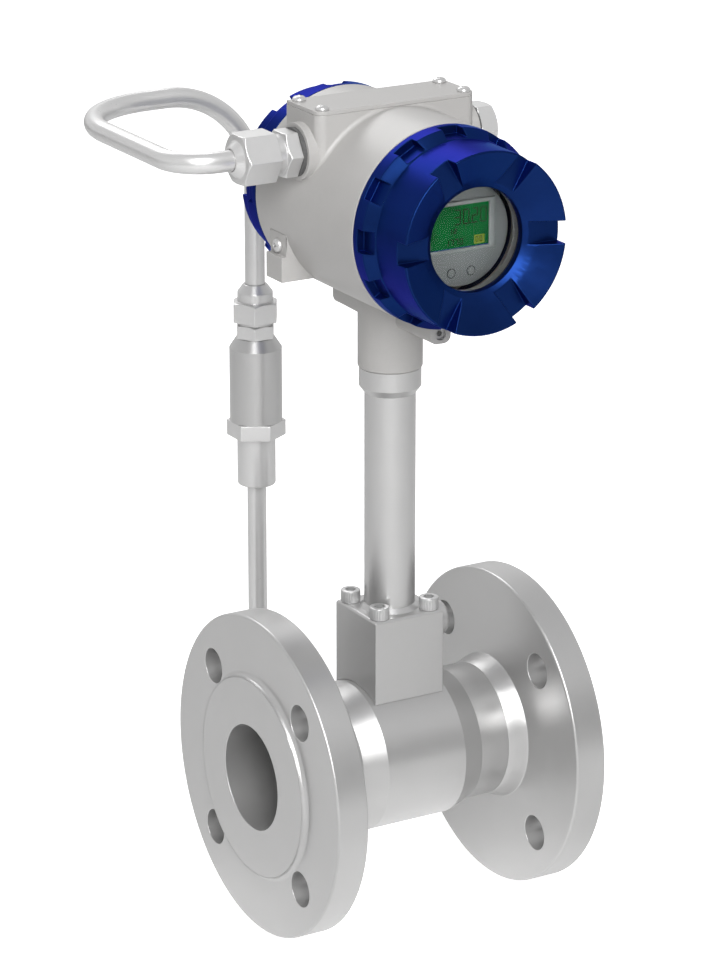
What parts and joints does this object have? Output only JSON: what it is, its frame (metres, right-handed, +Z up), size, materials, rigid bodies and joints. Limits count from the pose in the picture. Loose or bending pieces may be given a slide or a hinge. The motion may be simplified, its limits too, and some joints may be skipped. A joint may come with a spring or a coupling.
{
  "type": "vortex flow meter",
  "caption": "Flanged vortex flow meter with a display head on a stem, screwed covers, and a pressure sensor hung on a bent metal conduit.",
  "frame": {"origin": "centre of the inlet flange's bolting face, on the pipe's axis", "axes": "+X along the flow from inlet to outlet, +Z up the stem, the display looks along -Y"},
  "size_m": [0.1945, 0.243, 0.4211],
  "materials": {
    "machined_steel": "turned and bead-blasted",
    "bright_steel": "bright",
    "bare_aluminium": "satin",
    "grey_paint": "satin light grey paint on cast aluminium",
    "blue_paint": "gloss deep blue paint on cast aluminium",
    "seal_rubber": "matt",
    "gasket": "soft metal ring",
    "window": "clear",
    "circuit_board": "solder mask",
    "dark_plastic": "moulded",
    "grey_plastic": "moulded",
    "display_green": "display glass",
    "lead_sheath": "sheathed"
  },
  "bodies": {
    "meter": {"inlet_flange": "machined_steel", "outlet_flange": "machined_steel", "meter_body": "machined_steel", "shedder_bar": "machined_steel", "vortex_sensor": "machined_steel", "sensor_gasket": "gasket", "sensor_bonnet": "machined_steel", "bonnet_side_plug": "machined_steel", "bonnet_screws": "bright_steel", "stem_tube": "machined_steel", "stem_adapter": "machined_steel", "head_housing": "grey_paint", "crown_plate": "bare_aluminium", "crown_plate_screws": "bright_steel", "earth_screw": "bright_steel", "cover_lock_screw": "bright_steel", "amplifier_pillars": "bright_steel", "amplifier_board": "circuit_board", "board_link": "dark_plastic", "display_can": "grey_plastic", "display_panel": "display_green", "terminal_pillars": "bright_steel", "terminal_board": "circuit_board", "terminal_block": "dark_plastic", "terminal_screws": "bright_steel", "sensor_lead": "lead_sheath", "pressure_lead": "lead_sheath", "entry_seal_ring": "seal_rubber", "entry_adapter": "bright_steel", "entry_nut": "bright_steel", "entry_ferrule": "bright_steel", "blank_plug_seal": "seal_rubber", "blank_plug": "bright_steel", "pressure_sensor_case": "bright_steel", "sensor_top_adapter": "bright_steel", "sensor_top_nut": "bright_steel", "sensor_top_ferrule": "bright_steel", "pressure_connection": "bright_steel", "pressure_cell": "machined_steel", "conduit_tube": "bright_steel", "impulse_pipe": "bright_steel"},
    "front_seal": {"front_cover_seal": "seal_rubber"},
    "front_cover": {"front_cover": "blue_paint", "window_gasket": "seal_rubber", "window_glass": "window", "glass_retaining_ring": "bare_aluminium"},
    "back_seal": {"back_cover_seal": "seal_rubber"},
    "back_cover": {"back_cover": "blue_paint"},
    "left_key": {"left_key": "dark_plastic"},
    "right_key": {"right_key": "dark_plastic"}
  },
  "joints": [
    {"name": "front_cover_travel", "type": "slide", "parent": "meter", "child": "front_seal", "axis": [0, -1, 0], "range_m": [0, 0.01]},
    {"name": "front_cover_turn", "type": "hinge", "parent": "front_seal", "child": "front_cover", "pos_m": [0.077, 0, 0.2849], "axis": [0, -1, 0], "range_deg": [0, 1800]},
    {"name": "back_cover_travel", "type": "slide", "parent": "meter", "child": "back_seal", "axis": [0, 1, 0], "range_m": [0, 0.01]},
    {"name": "back_cover_turn", "type": "hinge", "parent": "back_seal", "child": "back_cover", "pos_m": [0.077, 0, 0.2849], "axis": [0, 1, 0], "range_deg": [0, 1800]},
    {"name": "left_key_press", "type": "slide", "parent": "meter", "child": "left_key", "axis": [0, 1, 0], "range_m": [0, 0.0005], "stiffness_N_per_m": 400},
    {"name": "right_key_press", "type": "slide", "parent": "meter", "child": "right_key", "axis": [0, 1, 0], "range_m": [0, 0.0005], "stiffness_N_per_m": 400}
  ],
  "couplings": [
    {"joint": "front_cover_travel", "follows": "front_cover_turn", "m_per_rad": 0.00031831},
    {"joint": "back_cover_travel", "follows": "back_cover_turn", "m_per_rad": 0.00031831}
  ]
}
